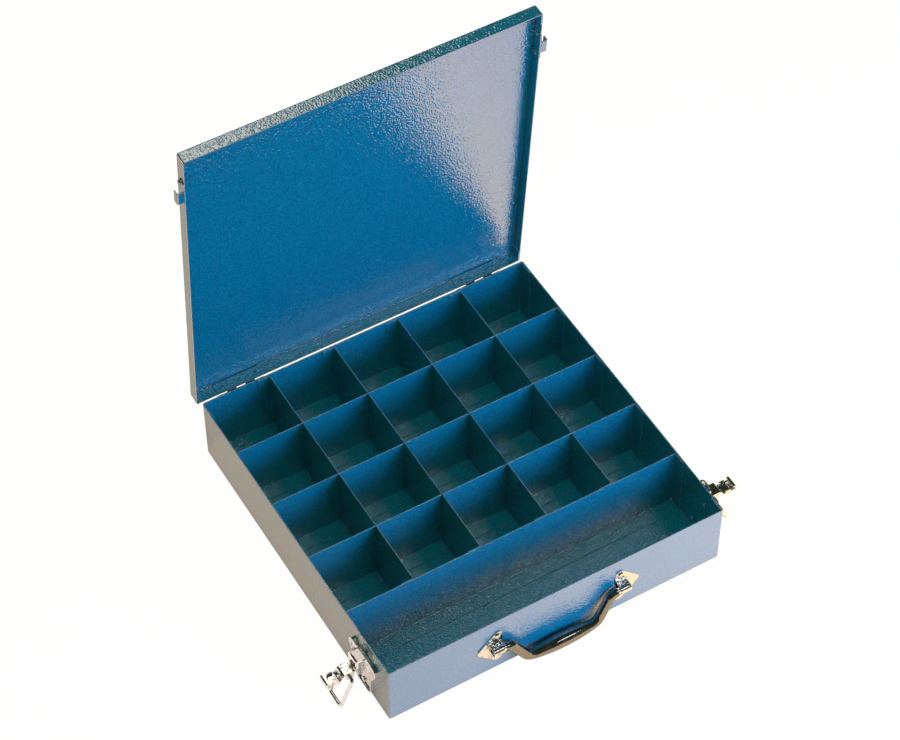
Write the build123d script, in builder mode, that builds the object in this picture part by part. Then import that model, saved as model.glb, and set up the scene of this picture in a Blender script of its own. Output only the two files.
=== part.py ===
from build123d import *
import os
from math import acos, asin, cos, degrees, hypot, radians, sin

# Compartment storage box of folded sheet steel: a square tray with welded-in
# dividers, a pan lid on two butt hinges, two toggle latches and a drop handle.
# X runs to the right along the front, Y to the back and Z up. The origin is
# the middle of the tray's underside. All lengths are in millimetres.

# Tray
tray_width = 330.0
tray_depth = 330.0
tray_height = 68.0
tray_sheet = 1.0
corner_bend = 2.0
floor_bend = 1.5
wall_tab = 15.0
wall_tab_below_rim = 0.5

# Dividers
divider_sheet = 0.8
divider_bend = 1.0
divider_below_rim = 1.5
column_count = 4
row_count = 4
trough_depth = 71.7
rear_compartment_depth = 61.4
row_flange = 14.2
row_tab = 13.5
row_tab_lift = 2.0
row_tab_to_rivet = 1.6
column_tab = 12.0
slot_clearance = 0.2
weld_dot_radius = 1.8
weld_dot_depth = 0.25
weld_dot_behind_edge = 7.05
trough_weld_pitch = 46.0
trough_weld_count = 7

# Lid
lid_sheet = 0.8
lid_skirt = 12.3
lid_tab = 12.0
lid_side_gap = 0.4
lid_front_gap = 0.7
lid_rest_gap = 0.2
lid_corner_bend = 1.8
lid_edge_bend = 1.5
lid_open_angle = 85.3

# Hinges
hinge_leaf_width = 46.0
hinge_spacing = 246.0
hinge_leaf_sheet = 1.0
hinge_finger_inner_bend = 0.1
hinge_pin_radius = 1.3
hinge_bore_clearance = 0.05
hinge_knuckle_wall = 1.05
hinge_knuckle_count = 5
hinge_knuckle_gap = 0.3
hinge_axis_behind_wall = 7.0
lid_edge_above_axis = 1.4
hinge_pin_proud = 0.8
lid_leaf_below_panel = 0.8
lid_finger_gap = 0.1
lid_leaf_off_wall = 1.2
tray_leaf_height = 13.0
tray_leaf_below_axis = 4.5
tray_finger_below_axis = 1.4
leaf_mark_pitch = 8.15
leaf_hole_radius = 1.7
leaf_mark_radius = 1.3
leaf_mark_depth = 0.3

# Rivets, the same size at latches, catches and handle brackets
rivet_radius = 1.55
rivet_hole_clearance = 0.05
rivet_head_radius = 3.0
rivet_head_height = 1.3
rivet_tail_radius = 2.5
rivet_tail_height = 1.0
rivet_crown = 0.8
rivet_tail_round = 0.5
catch_rivet_head_radius = 2.0
catch_rivet_tail_height = 0.6

# Latches: lever, bail and base on each side wall
latch_behind_front = 40.5
latch_sheet = 1.2
latch_plate_width = 44.6
latch_plate_below_rim = 18.0
latch_plate_above_table = 4.0
latch_plate_rim = 2.6
latch_lobe_radius = 7.5
latch_stem_width = 27.0
latch_stem_corner = 6.0
latch_shoulder_drop = 24.0
latch_upper_rivet_spacing = 30.0
latch_upper_rivet_drop = 5.0
latch_lower_rivet_rise = 6.5
latch_pivot_out = 8.0
latch_pivot_below_rim = 32.0
latch_pin_radius = 1.25
latch_pin_proud = 0.1
latch_bore_clearance = 0.05
latch_bridge_height = 8.0
latch_bridge_below_top = 0.5
latch_bridge_out = 12.5
latch_bridge_bend = 2.2
ear_radius = 3.4
ear_root_drop = 3.0
lever_sheet = 1.5
lever_width = 11.6
lever_to_ear_gap = 0.3
lever_barrel_wall = 1.35
lever_top_plate_end = 22.5
lever_step_drop = 5.9
lever_step_run = 4.0
lever_tip_out = 39.0
lever_curl_rise = 4.6
lever_curl_back = 3.0
lever_bend = 1.8
lever_curl_bend = 1.5
lever_cheek_sheet = 1.2
lever_cheek_start = 12.5
lever_cheek_wall = 1.35
lever_wing_start = 28.5
lever_wing_end = 33.5
lever_wing_height = 2.8
lever_closing_angle = 84.0
bail_pivot_out = 9.0
bail_pivot_drop = 4.0
bail_wire_radius = 1.7
bail_to_ear_gap = 0.3
bail_end_proud = 0.6
bail_bend = 2.4
bail_hole_clearance = 0.05
bail_table_gap = 0.1

# Catches on the lid's side skirts
catch_sheet = 1.0
catch_plate_length = 32.0
catch_plate_height = 9.5
catch_plate_end_radius = 4.0
catch_rivet_spacing = 24.0
catch_rivet_level = 6.8
catch_hook_to_bail_gap = 1.1
catch_hook_reach = 7.0
catch_lip_height = 5.4
catch_below_edge = 0.3
catch_bend = 1.4
bail_seat_out = 3.0
bail_seat_gap = 0.05

# Handle
handle_pivot_height = 33.0
handle_pivot_off_wall = 5.2
handle_rod_radius = 3.0
handle_rod_end_inset = 2.0
handle_elbow_inset = 6.0
handle_elbow_bend = 7.0
handle_drop = 26.0
handle_middle_half = 34.0
handle_middle_bend = 12.0
handle_grip_inset = 1.0
handle_grip_radius = 4.6
handle_swell_radius = 6.9
handle_swell_half = 30.0
handle_wall_gap = 1.5
grip_bore_clearance = 0.05
bracket_sheet = 1.0
bracket_start = 56.0
bracket_lobe_radius = 4.5
bracket_lobe_past_rivet = 0.5
bracket_length = 24.0
bracket_loop_inset = 2.0
bracket_loop_length = 10.0
bracket_loop_wall = 1.0
bracket_loop_clearance = 0.1
bracket_rivet_drop = 15.0
bracket_rivet_inset = 5.0

sides = {"left": -1, "right": 1}
parts_folder = "parts"
os.makedirs(parts_folder, exist_ok=True)


def write(piece, name):
    """Label a finished piece and write it as one STEP file."""
    piece.part.label = name
    export_step(piece.part, f"{parts_folder}/{name}.step")


# Places worked out from the driving sizes
inner_width = tray_width - 2 * tray_sheet
inner_depth = tray_depth - 2 * tray_sheet
divider_top = tray_height - divider_below_rim
divider_middle = (tray_sheet + divider_top) / 2
slot_width = divider_sheet + 2 * slot_clearance
column_pitch = inner_width / (column_count + 1)
column_places = [(i - (column_count - 1) / 2) * column_pitch for i in range(column_count)]
compartment_places = [(i - column_count / 2) * column_pitch for i in range(column_count + 1)]
rear_row_y = inner_depth / 2 - rear_compartment_depth - divider_sheet / 2
front_row_y = -inner_depth / 2 + trough_depth + divider_sheet / 2
row_pitch = (rear_row_y - front_row_y) / (row_count - 1)
row_places = [rear_row_y - i * row_pitch for i in range(row_count)]

# Latch places: they follow the rim and the front wall, and the plate's foot the table.
latch_y = -tray_depth / 2 + latch_behind_front
latch_pivot_height = tray_height - latch_pivot_below_rim
latch_plate_top = tray_height - latch_plate_below_rim
latch_upper_rivet_height = latch_plate_top - latch_upper_rivet_drop
latch_lower_rivet_height = latch_plate_above_table + latch_lower_rivet_rise

rivet_hole_radius = rivet_radius + rivet_hole_clearance
catch_rivet_places = [
    (-catch_rivet_spacing / 2, catch_rivet_level),
    (catch_rivet_spacing / 2, catch_rivet_level),
]
latch_rivet_places = [
    (-latch_upper_rivet_spacing / 2, latch_upper_rivet_height),
    (latch_upper_rivet_spacing / 2, latch_upper_rivet_height),
    (0, latch_lower_rivet_height),
]
bracket_rivet_drops = (-bracket_rivet_drop, bracket_rivet_drop)
bracket_rivet_out = bracket_start + bracket_rivet_inset

# The trough's divider has shorter end tabs where the latches' rivets need the room.
latch_rivet_back = latch_y + latch_upper_rivet_spacing / 2 + rivet_tail_radius
trough_row_tab = row_places[-1] - latch_rivet_back - row_tab_to_rivet

# The lid is drawn in its own plane through the hinge axis: X along the axis,
# local Y to the closed lid's back and local Z out of its panel.
hinge_axis_below_rim = lid_skirt + lid_edge_above_axis - lid_sheet - lid_rest_gap
hinge_y = tray_depth / 2 + hinge_axis_behind_wall
hinge_z = tray_height - hinge_axis_below_rim
lid_plane = Plane(
    origin=(0, hinge_y, hinge_z),
    x_dir=(1, 0, 0),
    z_dir=(0, sin(radians(lid_open_angle)), cos(radians(lid_open_angle))),
)
lid_inner_width = tray_width + 2 * (lid_side_gap + lid_sheet)
lid_width = lid_inner_width + 2 * lid_sheet
lid_panel_level = hinge_axis_below_rim + lid_rest_gap
lid_front = -hinge_y - tray_depth / 2 - lid_front_gap
lid_back = -hinge_axis_behind_wall + hinge_leaf_sheet + lid_leaf_off_wall
lid_inner_length = lid_back - lid_front
lid_middle = (lid_front + lid_back) / 2
lid_edge_plane = lid_plane.offset(lid_edge_above_axis)
lid_section_plane = Plane(origin=lid_plane.origin, x_dir=lid_plane.y_dir, z_dir=lid_plane.x_dir)
tray_section_plane = Plane(origin=lid_plane.origin, x_dir=(0, 1, 0), z_dir=(1, 0, 0))
hinge_bore_radius = hinge_pin_radius + hinge_bore_clearance
knuckle_radius = hinge_bore_radius + hinge_knuckle_wall
knuckle_pitch = hinge_leaf_width / hinge_knuckle_count

# Bail: its leg is as long as puts its bar in the hook when the lever is shut.
# At rest it leans until that bar stands on the table, or hangs straight above it.
bail_arm = hypot(bail_pivot_out, bail_pivot_drop)
shut_arm_angle = -asin(bail_pivot_drop / bail_arm) - radians(lever_closing_angle)
shut_bail_out = latch_pivot_out + bail_arm * cos(shut_arm_angle)
shut_bail_height = latch_pivot_height + bail_arm * sin(shut_arm_angle)
hook_floor = hinge_z + lid_edge_above_axis - catch_below_edge + catch_sheet
seat_height = hook_floor + bail_wire_radius + bail_seat_gap
seat_out = (lid_width - tray_width) / 2 + bail_seat_out
bail_leg = hypot(seat_height - shut_bail_height, seat_out - shut_bail_out)
bail_height = latch_pivot_height - bail_pivot_drop
bail_out = latch_pivot_out + bail_pivot_out
bail_drop = min(bail_height - bail_wire_radius - bail_table_gap, bail_leg)
bail_lean = acos(bail_drop / bail_leg)
shut_bail_angle = acos((seat_out - shut_bail_out) / bail_leg)
bail_swing = degrees(shut_bail_angle + radians(90) - bail_lean) + lever_closing_angle

# Handle: it hangs with its thick middle just clear of the front wall.
handle_lean = asin((handle_swell_radius + handle_wall_gap - handle_pivot_off_wall) / handle_drop)
handle_axis = (0, -tray_depth / 2 - handle_pivot_off_wall, handle_pivot_height)
handle_plane = Plane(
    origin=handle_axis, x_dir=(1, 0, 0), z_dir=(0, -cos(handle_lean), sin(handle_lean))
)


def wall_plane(side):
    """Outer face of a side wall at its latch: local X along it, Y up, Z outward."""
    return Plane(origin=(side * tray_width / 2, latch_y, 0), x_dir=(0, side, 0), z_dir=(side, 0, 0))


def lever_plane(side):
    """Upright plane through a latch's middle: local X outward from the wall, Y up."""
    return Plane(origin=(side * tray_width / 2, latch_y, 0), x_dir=(side, 0, 0), z_dir=(0, -side, 0))


def skirt_plane(side):
    """Outer face of a lid side skirt at its catch, measured from the raw edge."""
    origin = lid_edge_plane.from_local_coords(Vector(side * lid_width / 2, latch_y - hinge_y, 0))
    return Plane(origin=origin, x_dir=side * lid_plane.y_dir, z_dir=side * lid_plane.x_dir)


front_plane = Plane(
    origin=(0, -tray_depth / 2, handle_pivot_height), x_dir=(1, 0, 0), z_dir=(0, -1, 0)
)

# Tray: a folded shell whose front and back walls have end tabs welded inside
# the side walls, with rivet holes for the latches and the handle brackets.
with BuildPart() as tray_shell:
    with BuildSketch():
        RectangleRounded(tray_width, tray_depth, corner_bend)
    extrude(amount=tray_height)
    fillet(tray_shell.faces().sort_by(Axis.Z)[0].edges(), radius=floor_bend)
    with BuildSketch(Plane.XY.offset(tray_height)):
        RectangleRounded(inner_width, inner_depth, corner_bend - tray_sheet)
    extrude(amount=tray_sheet - tray_height, mode=Mode.SUBTRACT)
    with BuildSketch(Plane.XY.offset(tray_sheet)):
        with GridLocations(inner_width - tray_sheet, inner_depth - wall_tab, 2, 2):
            Rectangle(tray_sheet, wall_tab)
    extrude(amount=tray_height - wall_tab_below_rim - tray_sheet)
    for side in sides.values():
        with BuildSketch(wall_plane(side)):
            with Locations(latch_rivet_places):
                Circle(rivet_hole_radius)
        extrude(amount=-2 * tray_sheet, mode=Mode.SUBTRACT)
        with BuildSketch(front_plane):
            with Locations([(side * bracket_rivet_out, drop) for drop in bracket_rivet_drops]):
                Circle(rivet_hole_radius)
        extrude(amount=-2 * tray_sheet, mode=Mode.SUBTRACT)
write(tray_shell, "tray_shell")


def row_divider(y, tab, slotted, weld_places):
    """A cross divider: upright web, foot flange to the front and end tabs."""
    foot = tray_sheet + divider_sheet / 2
    tab_floor = tray_sheet + divider_sheet + row_tab_lift
    tab_x = (inner_width - divider_sheet) / 2
    web_half = tab_x - divider_bend - divider_sheet / 2
    with BuildPart() as divider:
        with BuildSketch(Plane.YZ.offset(-web_half)):
            with BuildLine():
                FilletPolyline((y - row_flange, foot), (y, foot), (y, tab_floor), radius=divider_bend)
            trace(line_width=divider_sheet)
        extrude(amount=2 * web_half)
        with BuildSketch(Plane.XY.offset(tab_floor)):
            with BuildLine():
                FilletPolyline(
                    (-tab_x, y - tab), (-tab_x, y), (tab_x, y), (tab_x, y - tab),
                    radius=divider_bend,
                )
            trace(line_width=divider_sheet)
        extrude(amount=divider_top - tab_floor)
        if slotted:
            with BuildSketch(Plane.XY.offset(tray_sheet)):
                with Locations([(x, y - row_flange / 2) for x in column_places]):
                    Rectangle(slot_width, 2 * row_flange)
            extrude(amount=divider_middle + slot_clearance - tray_sheet, mode=Mode.SUBTRACT)
        with BuildSketch(Plane.XY.offset(tray_sheet + divider_sheet)):
            with Locations([(x, y - row_flange + weld_dot_behind_edge) for x in weld_places]):
                Circle(weld_dot_radius)
        extrude(amount=-weld_dot_depth, mode=Mode.SUBTRACT)
    return divider


def column_divider(x):
    """A front-to-back divider: upright web with end tabs, slotted from above."""
    front_y = row_places[-1] + divider_sheet
    back_y = (inner_depth - divider_sheet) / 2
    with BuildPart() as divider:
        with BuildSketch(Plane.XY.offset(tray_sheet)):
            with BuildLine():
                FilletPolyline(
                    (x - column_tab, back_y), (x, back_y), (x, front_y), (x - column_tab, front_y),
                    radius=divider_bend,
                )
            trace(line_width=divider_sheet)
        extrude(amount=divider_top - tray_sheet)
        with BuildSketch(Plane.XY.offset(divider_middle - slot_clearance)):
            with Locations([(x, y) for y in row_places[:-1]]):
                Rectangle(2 * slot_width, slot_width)
        extrude(amount=tray_height, mode=Mode.SUBTRACT)
    return divider


trough_weld_places = [
    (i - (trough_weld_count - 1) / 2) * trough_weld_pitch for i in range(trough_weld_count)
]
for number, y in enumerate(row_places, start=1):
    beside_trough = number == row_count
    weld_places = trough_weld_places if beside_trough else compartment_places
    tab = trough_row_tab if beside_trough else row_tab
    write(row_divider(y, tab, not beside_trough, weld_places), f"row_divider_{number}")
for number, x in enumerate(column_places, start=1):
    write(column_divider(x), f"column_divider_{number}")

# Lid: a folded pan, its corner tabs welded inside the side skirts.
panel_axis = Axis(lid_plane.origin, lid_plane.z_dir)


def lid_block(width, length, height, corner_radius, panel_radius):
    """A block standing on the lid's raw edge, rounded at its corners and panel."""
    with BuildPart() as block:
        with BuildSketch(lid_edge_plane):
            with Locations((0, lid_middle)):
                RectangleRounded(width, length, corner_radius)
        extrude(amount=height)
        fillet(block.faces().sort_by(panel_axis)[-1].edges(), radius=panel_radius)
    return block


with BuildPart() as lid_shell:
    outside = lid_block(
        lid_width, lid_inner_length + 2 * lid_sheet, lid_skirt, lid_corner_bend, lid_edge_bend
    )
    add(outside.part)
    hollow = lid_block(
        lid_inner_width, lid_inner_length, lid_skirt - lid_sheet,
        lid_corner_bend - lid_sheet, lid_edge_bend - lid_sheet,
    )
    add(hollow.part, mode=Mode.SUBTRACT)
    with BuildSketch(lid_edge_plane):
        with Locations((0, lid_middle)):
            with GridLocations(lid_inner_width - lid_sheet, lid_inner_length - lid_tab, 2, 2):
                Rectangle(lid_sheet, lid_tab)
    extrude(amount=lid_skirt - lid_sheet)
    for side in sides.values():
        with BuildSketch(skirt_plane(side)):
            with Locations(catch_rivet_places):
                Circle(rivet_hole_radius)
        extrude(amount=-2 * lid_sheet, mode=Mode.SUBTRACT)
write(lid_shell, "lid_shell")


def hinge_leaf(plane, x, body_middle, body_height, finger, knuckles):
    """A sheet leaf: a full-width body, and bent fingers that end in knuckles."""
    start = x - hinge_leaf_width / 2
    with BuildPart() as leaf:
        with BuildSketch(plane.offset(start)):
            with Locations(body_middle):
                Rectangle(hinge_leaf_sheet, body_height)
        extrude(amount=hinge_leaf_width)
        for i in knuckles:
            with BuildSketch(plane.offset(start + i * knuckle_pitch + hinge_knuckle_gap / 2)):
                with BuildLine():
                    FilletPolyline(*finger, radius=hinge_leaf_sheet / 2 + hinge_finger_inner_bend)
                trace(line_width=hinge_leaf_sheet)
                Circle(knuckle_radius)
            extrude(amount=knuckle_pitch - hinge_knuckle_gap)
        with BuildSketch(plane.offset(start)):
            Circle(hinge_bore_radius)
        extrude(amount=hinge_leaf_width, mode=Mode.SUBTRACT)
    return leaf


def lid_hinge_leaf(x):
    """Leaf welded inside the lid's rear skirt, its fingers bent out under the raw edge."""
    middle = lid_back - hinge_leaf_sheet / 2
    height = lid_panel_level - lid_leaf_below_panel - lid_edge_above_axis
    level = lid_edge_above_axis + height / 2
    finger_level = lid_edge_above_axis - lid_finger_gap - hinge_leaf_sheet / 2
    finger_end = -(knuckle_radius + hinge_bore_radius) / 2
    finger = [(middle, level), (middle, finger_level), (finger_end, finger_level)]
    knuckles = range(1, hinge_knuckle_count, 2)
    face = Plane(
        origin=lid_plane.from_local_coords(Vector(x, lid_back - hinge_leaf_sheet, level)),
        x_dir=lid_plane.x_dir,
        z_dir=-lid_plane.y_dir,
    )
    leaf = hinge_leaf(lid_section_plane, x, (middle, level), height, finger, knuckles)
    with BuildPart() as marked:
        add(leaf.part)
        with BuildSketch(face):
            with Locations((-2 * leaf_mark_pitch, 0), (2 * leaf_mark_pitch, 0)):
                Circle(leaf_hole_radius)
        extrude(amount=-hinge_leaf_sheet, mode=Mode.SUBTRACT)
        with BuildSketch(face):
            with GridLocations(leaf_mark_pitch, 0, 3, 1):
                Circle(leaf_mark_radius)
        extrude(amount=-leaf_mark_depth, mode=Mode.SUBTRACT)
    return marked


def tray_hinge_leaf(x):
    """Leaf welded on the tray's back wall, its fingers bent out to the knuckles."""
    middle = hinge_leaf_sheet / 2 - hinge_axis_behind_wall
    top = -tray_leaf_below_axis
    level = top - tray_leaf_height / 2
    finger_end = -(knuckle_radius + hinge_bore_radius) / 2
    finger = [
        (middle, level), (middle, -tray_finger_below_axis), (finger_end, -tray_finger_below_axis)
    ]
    knuckles = range(0, hinge_knuckle_count, 2)
    face = Plane(
        origin=(x, tray_depth / 2 + hinge_leaf_sheet, hinge_z + level),
        x_dir=(-1, 0, 0),
        z_dir=(0, 1, 0),
    )
    leaf = hinge_leaf(tray_section_plane, x, (middle, level), tray_leaf_height, finger, knuckles)
    with BuildPart() as marked:
        add(leaf.part)
        with BuildSketch(face):
            with GridLocations(2 * leaf_mark_pitch, 0, 3, 1):
                Circle(leaf_mark_radius)
        extrude(amount=-leaf_mark_depth, mode=Mode.SUBTRACT)
    return marked


for name, side in sides.items():
    x = side * hinge_spacing / 2
    write(lid_hinge_leaf(x), f"lid_hinge_leaf_{name}")
    write(tray_hinge_leaf(x), f"tray_hinge_leaf_{name}")
    with BuildPart() as hinge_pin:
        with BuildSketch(tray_section_plane.offset(x)):
            Circle(hinge_pin_radius)
        extrude(amount=hinge_leaf_width / 2 + hinge_pin_proud, both=True)
    write(hinge_pin, f"hinge_pin_{name}")


def rivets(plane, places, outer_sheet, wall, head_radius, tail_height):
    """Rivets through a fitting and the wall behind it, heads outside."""
    with BuildPart() as group:
        with BuildSketch(plane.offset(-wall)):
            with Locations(places):
                Circle(rivet_radius)
        extrude(amount=wall + outer_sheet)
        with BuildSketch(plane.offset(outer_sheet)):
            with Locations(places):
                Circle(head_radius)
        extrude(amount=rivet_head_height)
        outward = Axis(plane.origin, plane.z_dir)
        fillet(group.faces().group_by(outward)[-1].edges(), radius=rivet_crown * rivet_head_height)
        with BuildSketch(plane.offset(-wall)):
            with Locations(places):
                Circle(rivet_tail_radius)
        extrude(amount=-tail_height)
        fillet(group.faces().group_by(outward)[0].edges(), radius=rivet_tail_round * tail_height)
    return group


# Latch base: one pressing with a riveted plate that has a raised rim, two ears for
# the lever's pin and a bridge between the ears, clear of the wall.
ear_inner = lever_width / 2 + lever_to_ear_gap
ear_middle = ear_inner + latch_sheet / 2
bridge_top = latch_plate_top - latch_bridge_below_top
bridge_bottom = bridge_top - latch_bridge_height


def latch_base(side):
    """The riveted base of one latch."""
    wall = wall_plane(side)
    profile = lever_plane(side)
    lobe_x = latch_plate_width / 2 - latch_lobe_radius
    lobe_height = latch_plate_top - latch_lobe_radius
    stem_x = latch_stem_width / 2 - latch_stem_corner
    shoulder_height = latch_plate_top - latch_shoulder_drop
    toe_height = latch_plate_above_table + latch_stem_corner
    lobes = [(-lobe_x, lobe_height), (lobe_x, lobe_height)]
    shoulders = [(-stem_x, shoulder_height), (stem_x, shoulder_height)]
    toes = [(-stem_x, toe_height), (stem_x, toe_height)]
    bridge_plane = Plane(
        origin=wall.origin + Vector(0, 0, bridge_top), x_dir=wall.x_dir, z_dir=(0, 0, -1)
    )
    bridge_face = latch_bridge_out - latch_sheet / 2
    with BuildPart() as base:
        for inset, step in ((0, Mode.ADD), (latch_sheet, Mode.SUBTRACT)):
            with BuildSketch(wall.offset(inset)):
                with Locations(lobes):
                    Circle(latch_lobe_radius - inset)
                with Locations(shoulders):
                    Circle(latch_stem_corner - inset)
                make_hull()
            extrude(amount=latch_plate_rim - inset, mode=step)
            with BuildSketch(wall.offset(inset)):
                with Locations(shoulders + toes):
                    Circle(latch_stem_corner - inset)
                make_hull()
            extrude(amount=latch_plate_rim - inset, mode=step)
        with BuildSketch(bridge_plane):
            with BuildLine():
                FilletPolyline(
                    (-ear_middle, latch_sheet / 2), (-ear_middle, bridge_face),
                    (ear_middle, bridge_face), (ear_middle, latch_sheet / 2),
                    radius=latch_bridge_bend,
                )
            trace(line_width=latch_sheet)
        extrude(amount=latch_bridge_height)
        for turn in (-1, 1):
            with BuildSketch(profile.offset(turn * ear_inner)):
                with BuildLine():
                    Polyline(
                        (latch_sheet / 2, latch_pivot_height - ear_root_drop),
                        (latch_pivot_out, latch_pivot_height - ear_radius),
                        (latch_pivot_out + ear_radius, latch_pivot_height),
                        (latch_bridge_out - latch_bridge_bend, bridge_bottom),
                        (latch_sheet / 2, bridge_bottom),
                        close=True,
                    )
                make_face()
                with Locations((latch_pivot_out, latch_pivot_height)):
                    Circle(ear_radius)
            extrude(amount=turn * latch_sheet)
        with BuildSketch(profile):
            with Locations((latch_pivot_out, latch_pivot_height)):
                Circle(latch_pin_radius + latch_bore_clearance)
        extrude(amount=latch_plate_width, both=True, mode=Mode.SUBTRACT)
        with BuildSketch(wall):
            with Locations(latch_rivet_places):
                Circle(rivet_hole_radius)
        extrude(amount=latch_sheet, mode=Mode.SUBTRACT)
    return base


# Lever: a strip rolled round its pin, stepped down to a curled finger tip, with
# two cheeks that carry the bail and two short turned-up wings.
lever_barrel_radius = latch_pin_radius + latch_bore_clearance + lever_barrel_wall
strip_height = latch_pivot_height + lever_barrel_radius - lever_sheet / 2
step_height = strip_height - lever_step_drop
lever_half = lever_width / 2
cheek_inner = lever_half - lever_cheek_sheet
cheek_radius = bail_wire_radius + bail_hole_clearance + lever_cheek_wall


def latch_lever(side):
    """The toggle lever of one latch, as it lies open."""
    profile = lever_plane(side)
    step_end = lever_top_plate_end + lever_step_run
    curl_height = step_height + lever_curl_rise
    with BuildPart() as lever:
        with BuildSketch(profile):
            with BuildLine():
                FilletPolyline(
                    (latch_pivot_out, strip_height), (lever_top_plate_end, strip_height),
                    (step_end, step_height), (lever_tip_out, step_height),
                    (lever_tip_out, curl_height), (lever_tip_out - lever_curl_back, curl_height),
                    radius=[lever_bend, lever_bend, lever_curl_bend, lever_curl_bend],
                )
            trace(line_width=lever_sheet)
            with Locations((latch_pivot_out, latch_pivot_height)):
                Circle(lever_barrel_radius)
        extrude(amount=lever_half, both=True)
        for turn in (-1, 1):
            with BuildSketch(profile.offset(turn * cheek_inner)):
                with Locations(((lever_cheek_start + lever_top_plate_end) / 2, strip_height)):
                    Rectangle(lever_top_plate_end - lever_cheek_start, lever_sheet)
                with Locations((bail_out, bail_height)):
                    Circle(cheek_radius)
                make_hull()
            extrude(amount=turn * lever_cheek_sheet)
            with BuildSketch(profile.offset(turn * cheek_inner)):
                with Locations(((lever_wing_start + lever_wing_end) / 2, step_height)):
                    Rectangle(
                        lever_wing_end - lever_wing_start, lever_wing_height + lever_sheet / 2,
                        align=(Align.CENTER, Align.MIN),
                    )
            extrude(amount=turn * lever_cheek_sheet)
        with BuildSketch(profile):
            with Locations((latch_pivot_out, latch_pivot_height)):
                Circle(latch_pin_radius + latch_bore_clearance)
            with Locations((bail_out, bail_height)):
                Circle(bail_wire_radius + bail_hole_clearance)
        extrude(amount=lever_width, both=True, mode=Mode.SUBTRACT)
    return lever


# Bail: a wire loop just wide enough to swing past the ears, its ends in the cheeks.
bail_half_width = ear_inner + latch_sheet + bail_to_ear_gap + bail_wire_radius
bail_end_inset = cheek_inner - bail_end_proud


def latch_bail(side):
    """The wire loop of one latch, its ends turned into the lever's cheeks."""
    leg = Vector(side * sin(bail_lean), 0, -cos(bail_lean))
    loop_plane = Plane(
        origin=lever_plane(side).from_local_coords(Vector(bail_out, bail_height, 0)),
        x_dir=(0, 1, 0),
        z_dir=Vector(0, 1, 0).cross(leg),
    )
    with BuildPart() as bail:
        with BuildLine(loop_plane) as wire:
            FilletPolyline(
                (bail_end_inset, 0), (bail_half_width, 0), (bail_half_width, bail_leg),
                (-bail_half_width, bail_leg), (-bail_half_width, 0), (-bail_end_inset, 0),
                radius=bail_bend,
            )
        with BuildSketch(Plane(origin=wire.line @ 0, z_dir=wire.line % 0)):
            Circle(bail_wire_radius)
        sweep(path=wire.line)
    return bail


# Catch: its hook goes inside the bail's loop.
catch_hook_half = bail_half_width - bail_wire_radius - catch_hook_to_bail_gap


def catch(side):
    """The catch on one lid skirt: a riveted plate with a hook turned up from its edge."""
    skirt = skirt_plane(side)
    hook_plane = Plane(origin=skirt.origin, x_dir=skirt.z_dir, z_dir=skirt.z_dir.cross(skirt.y_dir))
    edge = catch_sheet / 2 - catch_below_edge
    lip = catch_hook_reach - catch_sheet / 2
    with BuildPart() as hook:
        with BuildSketch(skirt):
            with Locations((0, catch_plate_height / 2)):
                RectangleRounded(catch_plate_length, catch_plate_height, catch_plate_end_radius)
        extrude(amount=catch_sheet)
        with BuildSketch(hook_plane):
            with BuildLine():
                FilletPolyline(
                    (catch_sheet / 2, catch_plate_height / 2), (catch_sheet / 2, edge),
                    (lip, edge), (lip, catch_lip_height),
                    radius=catch_bend,
                )
            trace(line_width=catch_sheet)
        extrude(amount=catch_hook_half, both=True)
        with BuildSketch(skirt):
            with Locations(catch_rivet_places):
                Circle(rivet_hole_radius)
        extrude(amount=catch_sheet, mode=Mode.SUBTRACT)
    return hook


for name, side in sides.items():
    write(latch_base(side), f"latch_base_{name}")
    write(latch_lever(side), f"latch_lever_{name}")
    write(latch_bail(side), f"latch_bail_{name}")
    write(catch(side), f"catch_{name}")
    with BuildPart() as latch_pin:
        with BuildSketch(lever_plane(side)):
            with Locations((latch_pivot_out, latch_pivot_height)):
                Circle(latch_pin_radius)
        extrude(amount=ear_inner + latch_sheet + latch_pin_proud, both=True)
    write(latch_pin, f"latch_pin_{name}")
    latch_rivets = rivets(
        wall_plane(side), latch_rivet_places, latch_sheet, tray_sheet,
        rivet_head_radius, rivet_tail_height,
    )
    write(latch_rivets, f"latch_rivets_{name}")
    catch_rivets = rivets(
        skirt_plane(side), catch_rivet_places, catch_sheet, lid_sheet,
        catch_rivet_head_radius, catch_rivet_tail_height,
    )
    write(catch_rivets, f"catch_rivets_{name}")


bracket_loop_start = bracket_start + bracket_loop_inset
bracket_lobe_drop = bracket_rivet_drop + bracket_lobe_past_rivet


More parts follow.
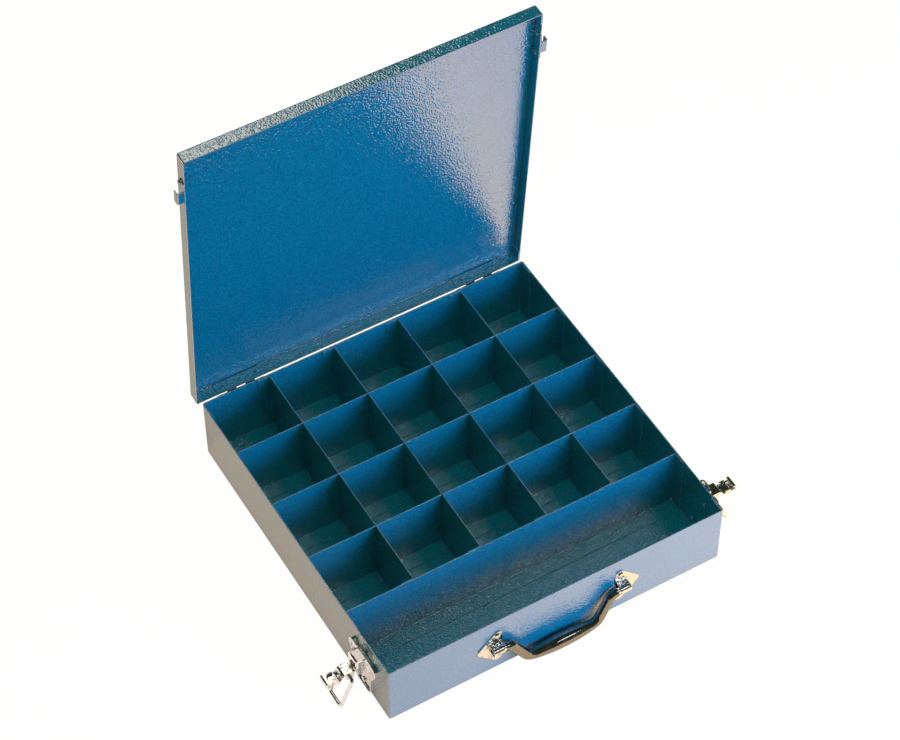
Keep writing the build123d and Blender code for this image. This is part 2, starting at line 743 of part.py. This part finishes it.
def handle_bracket(side):
    """A riveted bracket on the front wall, with a raised loop for the handle's rod."""
    loop_plane = Plane(
        origin=front_plane.from_local_coords(Vector(side * bracket_loop_start, 0, 0)),
        x_dir=(0, -1, 0),
        z_dir=(-1, 0, 0),
    )
    bore = handle_rod_radius + bracket_loop_clearance
    outside = bore + bracket_loop_wall
    lobe_x = side * (bracket_start + bracket_lobe_radius)
    apex_x = side * (bracket_start + bracket_length - bracket_lobe_radius)
    with BuildPart() as bracket:
        with BuildSketch(front_plane):
            with Locations((lobe_x, -bracket_lobe_drop), (lobe_x, bracket_lobe_drop), (apex_x, 0)):
                Circle(bracket_lobe_radius)
            make_hull()
        extrude(amount=bracket_sheet)
        with BuildSketch(loop_plane):
            Rectangle(handle_pivot_off_wall, 2 * outside, align=(Align.MIN, Align.CENTER))
            with Locations((handle_pivot_off_wall, 0)):
                Circle(outside)
                Circle(bore, mode=Mode.SUBTRACT)
            with Locations((bracket_sheet, 0)):
                Rectangle(
                    handle_pivot_off_wall - bracket_sheet, 2 * bore,
                    align=(Align.MIN, Align.CENTER), mode=Mode.SUBTRACT,
                )
        extrude(amount=-side * bracket_loop_length)
        with BuildSketch(front_plane):
            with Locations([(side * bracket_rivet_out, drop) for drop in bracket_rivet_drops]):
                Circle(rivet_hole_radius)
        extrude(amount=bracket_sheet, mode=Mode.SUBTRACT)
    return bracket


for name, side in sides.items():
    write(handle_bracket(side), f"handle_bracket_{name}")
    places = [(side * bracket_rivet_out, drop) for drop in bracket_rivet_drops]
    bracket_rivets = rivets(
        front_plane, places, bracket_sheet, tray_sheet, rivet_head_radius, rivet_tail_height
    )
    write(bracket_rivets, f"handle_rivets_{name}")


handle_rod_half = bracket_loop_start + bracket_loop_length - handle_rod_end_inset
handle_elbow = bracket_start - handle_elbow_inset
handle_grip_half = bracket_start - handle_grip_inset


def handle_tube(end, radius):
    """A round bar along the handle's line, to the given distance either side."""
    with BuildPart() as tube:
        with BuildLine(handle_plane) as line:
            FilletPolyline(
                (-end, 0), (-handle_elbow, 0), (-handle_middle_half, -handle_drop),
                (handle_middle_half, -handle_drop), (handle_elbow, 0), (end, 0),
                radius=[
                    handle_elbow_bend, handle_middle_bend, handle_middle_bend, handle_elbow_bend
                ],
            )
        with BuildSketch(Plane(origin=line.line @ 0, z_dir=line.line % 0)):
            Circle(radius)
        sweep(path=line.line)
    return tube


handle_rod = handle_tube(handle_rod_half, handle_rod_radius)
write(handle_rod, "handle_rod")

# Grip: moulded over the rod, thickest in the middle.
grip_skin = handle_tube(handle_grip_half, handle_grip_radius)
grip_bore = handle_tube(handle_grip_half, handle_rod_radius + grip_bore_clearance)
with BuildPart() as handle_grip:
    add(grip_skin.part)
    with BuildSketch(handle_plane):
        with BuildLine():
            grip_edge = handle_grip_radius - handle_drop
            Polyline(
                (-handle_swell_half, grip_edge), (-handle_swell_half, -handle_drop),
                (handle_swell_half, -handle_drop), (handle_swell_half, grip_edge),
            )
            ThreePointArc(
                (handle_swell_half, grip_edge), (0, handle_swell_radius - handle_drop),
                (-handle_swell_half, grip_edge),
            )
        make_face()
    middle_line = handle_plane.from_local_coords(Vector(0, -handle_drop, 0))
    revolve(axis=Axis(middle_line, handle_plane.x_dir))
    add(grip_bore.part, mode=Mode.SUBTRACT)
write(handle_grip, "handle_grip")
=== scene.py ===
from math import radians

import bpy
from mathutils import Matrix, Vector

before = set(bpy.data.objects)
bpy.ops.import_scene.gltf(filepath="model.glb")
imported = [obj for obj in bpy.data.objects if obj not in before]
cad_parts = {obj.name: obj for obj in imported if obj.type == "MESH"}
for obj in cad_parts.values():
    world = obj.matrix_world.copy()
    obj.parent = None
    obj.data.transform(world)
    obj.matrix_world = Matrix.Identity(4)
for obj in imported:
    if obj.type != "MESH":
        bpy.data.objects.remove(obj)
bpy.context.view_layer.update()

# Tray shell: one folded blank of 1 mm steel, its end tabs welded inside the side
# walls, then sprayed with blue hammer finish. Aluminium flake in the paint mirrors
# the surroundings. The sheet's edges and leaning folds are bright metal, partly bared
# by wear and partly a painted highlight that makes them shine as lines, and bounced
# light sees the paint darker and greener, a painted shade in the compartments.
paint_blue = (0.0025, 0.225, 0.545, 1.0)
paint_shadow_blue = (0.0018, 0.145, 0.37, 1.0)
# Painted shade: the colour the paint shows to bounced light, darker and greener than its own, keeps the
# compartments dark teal.
paint_bounce_shade = (0.003, 0.14, 0.105, 1.0)
paint_mirror_index = 3.5
paint_roughness = 0.08
paint_dimple_size = 0.0016
paint_dimple_depth = 0.00031
paint_dimple_detail = 0.0
paint_speck_size = 0.0015
paint_speck_detail = 1.0
paint_speck_range = (0.4, 0.6)
# Bright metal on edges and leaning folds: partly bare steel from wear, partly a painted highlight that
# makes them shine as lines.
wear_and_highlight_colour = (0.90, 0.93, 0.98, 1.0)
wear_and_highlight_roughness = 0.25
wear_and_highlight_turn_range = (0.97, 0.85)
wear_and_highlight_bend_lean = 0.6
wear_and_highlight_bend_reach = 0.3
sheet_edge_radius = 0.0007
edge_samples = 8


def bare_material(name):
    """A new material with its nodes, its link function and its surface."""
    material = bpy.data.materials.new(name)
    material.use_nodes = True
    nodes = material.node_tree.nodes
    return material, nodes, material.node_tree.links.new, nodes["Principled BSDF"]


def noise(nodes, link, place, size, detail=2.0):
    """Even noise over a piece, with its spots about as wide as the given size."""
    spots = nodes.new("ShaderNodeTexNoise")
    spots.inputs["Scale"].default_value = 1 / size
    spots.inputs["Detail"].default_value = detail
    link(place.outputs["Object"], spots.inputs["Vector"])
    return spots.outputs["Fac"]


def spread(nodes, link, value, low, high):
    """Stretch the part of a value between low and high over 0 to 1."""
    stretch = nodes.new("ShaderNodeMapRange")
    stretch.inputs["From Min"].default_value = low
    stretch.inputs["From Max"].default_value = high
    link(value, stretch.inputs["Value"])
    return stretch.outputs["Result"]


def between(nodes, link, share, low, high):
    """A value that runs from low to high as the share goes from 0 to 1."""
    ramp = nodes.new("ShaderNodeMapRange")
    ramp.inputs["To Min"].default_value = low
    ramp.inputs["To Max"].default_value = high
    link(share, ramp.inputs["Value"])
    return ramp.outputs["Result"]


def larger(nodes, link, one, other):
    """The larger of two values."""
    most = nodes.new("ShaderNodeMath")
    most.operation = "MAXIMUM"
    link(one, most.inputs[0])
    link(other, most.inputs[1])
    return most.outputs[0]


def blend(nodes, link, share, low, high):
    """Mix two colours, each a constant or another blend, by a share."""
    mixed = nodes.new("ShaderNodeMix")
    mixed.data_type = "RGBA"
    link(share, mixed.inputs["Factor"])
    for socket, colour in (("A", low), ("B", high)):
        if isinstance(colour, tuple):
            mixed.inputs[socket].default_value = colour
        else:
            link(colour, mixed.inputs[socket])
    return mixed.outputs["Result"]


def rounded_edges(nodes, link, radius):
    """Normals rounded at edges and folds, and how far they turn from the flat."""
    rounding = nodes.new("ShaderNodeBevel")
    rounding.samples = edge_samples
    rounding.inputs["Radius"].default_value = radius
    flat = nodes.new("ShaderNodeNewGeometry")
    turn = nodes.new("ShaderNodeVectorMath")
    turn.operation = "DOT_PRODUCT"
    link(rounding.outputs["Normal"], turn.inputs[0])
    link(flat.outputs["Normal"], turn.inputs[1])
    return rounding.outputs["Normal"], turn.outputs["Value"]


def press_in(nodes, link, skin, height, depth, normal=None):
    """Give a surface the dents of a height pattern, over rounded edges if it has them."""
    bump = nodes.new("ShaderNodeBump")
    bump.inputs["Distance"].default_value = depth
    link(height, bump.inputs["Height"])
    if normal is not None:
        link(normal, bump.inputs["Normal"])
    link(bump.outputs["Normal"], skin.inputs["Normal"])


def wear_and_highlight_places(nodes, link, place, turn):
    """1 on folds that lean in the resting box and on the sheet's edges, 0 elsewhere: wear and painted
    highlight.
    """
    lean = nodes.new("ShaderNodeSeparateXYZ")
    link(place.outputs["Normal"], lean.inputs["Vector"])
    bent = nodes.new("ShaderNodeMath")
    bent.operation = "COMPARE"
    bent.inputs[1].default_value = wear_and_highlight_bend_lean
    bent.inputs[2].default_value = wear_and_highlight_bend_reach
    link(lean.outputs["Z"], bent.inputs[0])
    return larger(nodes, link, bent.outputs[0], spread(nodes, link, turn, *wear_and_highlight_turn_range))


def painted_steel(name):
    """Blue hammer finish: a mottled colour under a dimpled, mirroring skin, with painted shade for
    bounced light and bright edges of wear and painted highlight.
    """
    material, nodes, link, skin = bare_material(name)
    skin.inputs["IOR"].default_value = paint_mirror_index
    place = nodes.new("ShaderNodeTexCoord")
    normal, turn = rounded_edges(nodes, link, sheet_edge_radius)
    dimples = noise(nodes, link, place, paint_dimple_size, paint_dimple_detail)
    press_in(nodes, link, skin, dimples, paint_dimple_depth, normal)
    specks = noise(nodes, link, place, paint_speck_size, paint_speck_detail)
    specks = spread(nodes, link, specks, *paint_speck_range)
    seen = blend(nodes, link, specks, paint_shadow_blue, paint_blue)
    # Bounced light sees the darker, greener colour: painted shade in the compartments.
    rays = nodes.new("ShaderNodeLightPath")
    colour = blend(nodes, link, rays.outputs["Is Diffuse Ray"], seen, paint_bounce_shade)
    # Edges and leaning folds turn to bright metal: partly wear, partly painted highlight lines.
    wear_and_highlight = wear_and_highlight_places(nodes, link, place, turn)
    link(blend(nodes, link, wear_and_highlight, colour, wear_and_highlight_colour), skin.inputs["Base Color"])
    link(wear_and_highlight, skin.inputs["Metallic"])
    link(between(nodes, link, wear_and_highlight, paint_roughness, wear_and_highlight_roughness), skin.inputs["Roughness"])
    return material


def finish(names, material):
    """Give the named CAD pieces one material."""
    for name in names:
        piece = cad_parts[name]
        piece.data.materials.clear()
        piece.data.materials.append(material)


paint = painted_steel("blue_hammer_paint")
finish(["tray_shell"], paint)

# Dividers: four cross walls with spot-welded feet and four lengthwise walls
# slotted into them, folded from 0.8 mm steel and sprayed with the tray.
dividers = [f"{kind}_divider_{number}" for kind in ("row", "column") for number in range(1, 5)]
finish(dividers, paint)

# Lid: a pan of 0.8 mm steel with a skirt folded up on each of its four sides,
# sprayed inside and out with the same blue paint as the tray.
finish(["lid_shell"], paint)

# Hinges: two butt hinges of pressed steel leaves, welded to the lid's rear skirt and
# the tray's back wall and painted with them. Their pins are bright plated steel.
both = ("left", "right")
finish([f"{leaf}_hinge_leaf_{side}" for leaf in ("lid", "tray") for side in both], paint)

plate_colour = (0.90, 0.93, 0.97, 1.0)
plate_dull_colour = (0.60, 0.60, 0.58, 1.0)
plate_dull_range = (0.55, 0.75)
plate_roughness = 0.10
plate_dull_roughness = 0.24
plate_wave_size = 0.004
plate_wave_depth = 0.0003
plate_wave_detail = 1.0
plate_edge_radius = 0.0004


def plated_steel(name):
    """Bright nickel plate over pressed steel, a little wavy, with duller patches."""
    material, nodes, link, skin = bare_material(name)
    skin.inputs["Metallic"].default_value = 1.0
    place = nodes.new("ShaderNodeTexCoord")
    normal = rounded_edges(nodes, link, plate_edge_radius)[0]
    waves = noise(nodes, link, place, plate_wave_size, plate_wave_detail)
    press_in(nodes, link, skin, waves, plate_wave_depth, normal)
    dull = spread(nodes, link, waves, *plate_dull_range)
    link(blend(nodes, link, dull, plate_colour, plate_dull_colour), skin.inputs["Base Color"])
    link(between(nodes, link, dull, plate_roughness, plate_dull_roughness), skin.inputs["Roughness"])
    return material


plating = plated_steel("nickel_plate")
finish([f"hinge_pin_{side}" for side in both], plating)

# Latches: a pressed base with a bridge and two ears, held by three rivets, a lever
# on a pin through the ears, and a bent wire bail, all of nickel-plated steel.
latch_pieces = ("latch_base", "latch_lever", "latch_bail", "latch_pin", "latch_rivets")
finish([f"{piece}_{side}" for piece in latch_pieces for side in both], plating)

# Catches: pressed steel hooks, each held to the lid's side skirt by two rivets
# and painted with the lid.
finish([f"{piece}_{side}" for piece in ("catch", "catch_rivets") for side in both], paint)

# Handle: pressed brackets on two rivets each carry a bent steel rod, all of it
# nickel plated, and a black plastic grip is moulded over the rod's middle.
finish([f"handle_{piece}_{side}" for piece in ("bracket", "rivets") for side in both], plating)
finish(["handle_rod"], plating)

grip_black = (0.006, 0.008, 0.007, 1.0)
grip_scuffed = (0.03, 0.032, 0.03, 1.0)
grip_scuff_range = (0.5, 0.8)
grip_roughness = 0.08
grip_scuffed_roughness = 0.16
grip_mirror_index = 3.2
grip_wave_size = 0.006
grip_wave_depth = 0.0001


def black_plastic(name):
    """Glossy black moulding with faint flow waves and light scuffs."""
    material, nodes, link, skin = bare_material(name)
    skin.inputs["IOR"].default_value = grip_mirror_index
    place = nodes.new("ShaderNodeTexCoord")
    waves = noise(nodes, link, place, grip_wave_size)
    press_in(nodes, link, skin, waves, grip_wave_depth)
    scuffs = spread(nodes, link, waves, *grip_scuff_range)
    link(blend(nodes, link, scuffs, grip_black, grip_scuffed), skin.inputs["Base Color"])
    link(between(nodes, link, scuffs, grip_roughness, grip_scuffed_roughness), skin.inputs["Roughness"])
    return material


finish(["handle_grip"], black_plastic("black_grip"))

# Floor: a large sheet of white paper that the box stands on. The camera sees it lit
# white with the box's shadow. Mirrored rays see a painted glow of warm cream light,
# brighter to the front right, with painted shade close to the box and a painted
# shadow behind it, where the open lid keeps the light out.
floor_half = 6.0
paper_colour = (0.85, 0.77, 0.63, 1.0)
paper_roughness = 0.9
paper_white_strength = 1.08
paper_white_share = 0.9
paper_mirrored_share = 0.8
# Painted light: glow colours for mirrored rays, brighter where the key lamp lights the floor.
cream_painted_light_front_left = (1.05, 0.77, 0.55, 1.0)
cream_painted_light_front_right = (1.55, 1.10, 0.64, 1.0)
cream_painted_light_far_right = (1.20, 0.80, 0.52, 1.0)
cream_painted_light_left_of_box = (1.08, 0.87, 0.745, 1.0)
front_range = (-0.15, 0.17)
far_right_range = (0.2, 0.35)
left_of_box_range = (-0.15, -0.17)
right_of_side_range = (-0.175, -0.16)
behind_box_range = (0.165, 0.18)
behind_box_light = 0.1
close_shade_distance = 0.06
close_shade_samples = 8
close_shade_range = (0.1, 0.5)


def product(nodes, link, one, other):
    """Multiply a value by a constant or by another value."""
    times = nodes.new("ShaderNodeMath")
    times.operation = "MULTIPLY"
    link(one, times.inputs[0])
    if isinstance(other, float):
        times.inputs[1].default_value = other
    else:
        link(other, times.inputs[1])
    return times.outputs[0]


def seen_as(nodes, link, share, low, high):
    """The high shader for the given share of rays, and the low one for the rest."""
    mixed = nodes.new("ShaderNodeMixShader")
    link(share, mixed.inputs["Fac"])
    link(low, mixed.inputs[1])
    link(high, mixed.inputs[2])
    return mixed.outputs["Shader"]


mesh = bpy.data.meshes.new("floor")
corners = [(-floor_half, -floor_half, 0), (floor_half, -floor_half, 0)]
corners += [(floor_half, floor_half, 0), (-floor_half, floor_half, 0)]
mesh.from_pydata(corners, [], [(0, 1, 2, 3)])
floor = bpy.data.objects.new("floor", mesh)
bpy.context.scene.collection.objects.link(floor)
paper, nodes, link, sheet = bare_material("cream_paper")
sheet.inputs["Base Color"].default_value = paper_colour
sheet.inputs["Roughness"].default_value = paper_roughness
sheet.inputs["Specular IOR Level"].default_value = 0.0
white_glow = nodes.new("ShaderNodeEmission")
white_glow.inputs["Strength"].default_value = paper_white_strength
painted_floor_light = nodes.new("ShaderNodeEmission")
spot = nodes.new("ShaderNodeTexCoord")
axes = nodes.new("ShaderNodeSeparateXYZ")
link(spot.outputs["Object"], axes.inputs["Vector"])
across = axes.outputs["X"]
# Painted light: the mirrored glow grows brighter to the front right and dims again far right and left of
# the box.
painted_floor_light_colour = blend(nodes, link, spread(nodes, link, across, *front_range), cream_painted_light_front_left, cream_painted_light_front_right)
painted_floor_light_colour = blend(nodes, link, spread(nodes, link, across, *far_right_range), painted_floor_light_colour, cream_painted_light_far_right)
painted_floor_light_colour = blend(nodes, link, spread(nodes, link, across, *left_of_box_range), painted_floor_light_colour, cream_painted_light_left_of_box)
link(painted_floor_light_colour, painted_floor_light.inputs["Color"])
# Painted shade: the mirrored glow dims close to the box, found by ambient occlusion, and a painted shadow
# darkens it behind the box, under the open lid.
open_sky = nodes.new("ShaderNodeAmbientOcclusion")
open_sky.samples = close_shade_samples
open_sky.inputs["Distance"].default_value = close_shade_distance
close_shade = spread(nodes, link, open_sky.outputs["AO"], *close_shade_range)
right_of_side = spread(nodes, link, across, *right_of_side_range)
behind_box = spread(nodes, link, axes.outputs["Y"], *behind_box_range)
lid_shade = product(nodes, link, right_of_side, behind_box)
lid_shade = between(nodes, link, lid_shade, 1.0, behind_box_light)
link(product(nodes, link, close_shade, lid_shade), painted_floor_light.inputs["Strength"])
rays = nodes.new("ShaderNodeLightPath")
white_share = product(nodes, link, rays.outputs["Is Camera Ray"], paper_white_share)
mirrored = larger(nodes, link, rays.outputs["Is Glossy Ray"], rays.outputs["Is Transmission Ray"])
mirrored_share = product(nodes, link, mirrored, paper_mirrored_share)
direct = seen_as(nodes, link, white_share, sheet.outputs["BSDF"], white_glow.outputs["Emission"])
surface = seen_as(nodes, link, mirrored_share, direct, painted_floor_light.outputs["Emission"])
link(surface, nodes["Material Output"].inputs["Surface"])
mesh.materials.append(paper)

# Surround: a studio with its walls far off. The camera sees them white, the box's
# paint and plating mirror them almost black, and they give a dim fill light.
fill_colour = (0.15, 0.17, 0.02, 1.0)
mirrored_colour = (0.02, 0.03, 0.015, 1.0)
seen_colour = (1.0, 1.0, 1.0, 1.0)
world = bpy.data.worlds.new("studio")
bpy.context.scene.world = world
world.use_nodes = True
nodes = world.node_tree.nodes
link = world.node_tree.links.new
dim = nodes["Background"]
dim.inputs["Color"].default_value = fill_colour
dark = nodes.new("ShaderNodeBackground")
dark.inputs["Color"].default_value = mirrored_colour
pale = nodes.new("ShaderNodeBackground")
pale.inputs["Color"].default_value = seen_colour
rays = nodes.new("ShaderNodeLightPath")
inside = seen_as(nodes, link, rays.outputs["Is Glossy Ray"], dim.outputs["Background"],
                 dark.outputs["Background"])
around = seen_as(nodes, link, rays.outputs["Is Camera Ray"], inside, pale.outputs["Background"])
link(around, nodes["World Output"].inputs["Surface"])

# Lamps: a large soft key lamp low in front, with a white card at its face that the
# bright edges and folds, partly wear and partly painted highlight, and the plating mirror,
# a soft lamp overhead, and two smaller ones behind and in front. The key and the
# overhead lamp are kept out of reflections.
cool_light = (0.97, 1.0, 1.14)
warm_light = (1.0, 0.84, 0.72)
green_light = (0.9, 0.94, 0.5)
plain_light = (1.0, 1.0, 1.0)
key_place = (0.53, -1.15, 0.50)
key_target = (0.0, 0.0, 0.06)
key_width = 0.90
key_height = 0.78


def softbox(name, place, target, width, height, power, colour):
    """A square-cornered soft lamp aimed at a point."""
    lamp_data = bpy.data.lights.new(name, "AREA")
    lamp_data.shape = "RECTANGLE"
    lamp_data.size = width
    lamp_data.size_y = height
    lamp_data.energy = power
    lamp_data.color = colour
    lamp = bpy.data.objects.new(name, lamp_data)
    lamp.location = place
    lamp.rotation_euler = (Vector(target) - lamp.location).to_track_quat("-Z", "Y").to_euler()
    bpy.context.scene.collection.objects.link(lamp)
    return lamp


key = softbox("key_softbox", key_place, key_target, key_width, key_height, power=11.4, colour=cool_light)
key.visible_glossy = False
softbox("white_card", key_place, key_target, key_width, key_height, power=6.5, colour=cool_light)
softbox("back_softbox", place=(0.01, 0.85, 1.50), target=(0.0, 0.1, 0.2),
        width=0.8, height=0.5, power=2.0, colour=warm_light)
softbox("front_softbox", place=(0.725, -1.37, 1.54), target=(0.725, -1.37, 0.0),
        width=0.45, height=0.36, power=1.8, colour=plain_light)
top = softbox("top_softbox", place=(-0.10, -0.30, 1.70), target=(0.0, 0.0, 0.0),
              width=0.8, height=0.8, power=9.0, colour=green_light)
top.visible_glossy = False

# Camera: a long lens high over the front left corner, at the place, aim and roll
# that were worked out from the photo's perspective.
camera_place = Vector((-0.7758, -1.3099, 2.0395))
camera_aim = Vector((0.0704, 0.1353, 0.0))
camera_roll = radians(-0.183)
camera_lens = 114.89
camera_sensor = 36.0
camera_data = bpy.data.cameras.new("camera")
camera_data.lens = camera_lens
camera_data.sensor_width = camera_sensor
camera = bpy.data.objects.new("camera", camera_data)
camera.location = camera_place
camera.rotation_euler = (camera_aim - camera_place).to_track_quat("-Z", "Y").to_euler()
camera.rotation_euler.rotate_axis("Z", camera_roll)
bpy.context.scene.collection.objects.link(camera)
bpy.context.scene.camera = camera
bpy.context.scene.view_settings.view_transform = "Standard"
